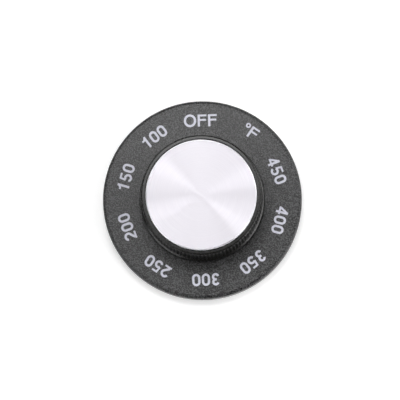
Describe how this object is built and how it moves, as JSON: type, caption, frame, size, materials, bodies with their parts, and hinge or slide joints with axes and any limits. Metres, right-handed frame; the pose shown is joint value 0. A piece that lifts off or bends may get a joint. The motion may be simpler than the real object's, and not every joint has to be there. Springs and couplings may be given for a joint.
{
  "type": "oven control knob",
  "caption": "Push-on oven thermostat dial knob: round printed skirt with OFF and temperature numbers, fluted black grip and a spun aluminium disc.",
  "frame": {"origin": "centre of the back rim's plane, on the knob's axis", "axes": "+Z along the knob's axis out of the printed face, +Y towards the OFF position, +X to the right seen from the front"},
  "size_m": [0.0634, 0.0634, 0.0205],
  "materials": {
    "skirt_plastic": "fine moulded texture, printed pale grey scale",
    "grip_plastic": "smooth satin moulded",
    "spun_aluminium": "spun face with fine circular lines and a bright cut bevel",
    "adhesive": "translucent film adhesive",
    "plated_steel": "bright zinc plate",
    "spring_steel": "blued spring temper",
    "brass": "turned"
  },
  "bodies": {
    "root": {"dial_skirt": "skirt_plastic", "knob_grip": "grip_plastic", "inlay_disc": "spun_aluminium", "inlay_adhesive": "adhesive", "clamp_plate": "plated_steel", "clamp_screw_1": "plated_steel", "clamp_screw_2": "plated_steel", "thread_insert_1": "brass", "thread_insert_2": "brass", "stem_spring": "spring_steel"}
  },
  "joints": []
}
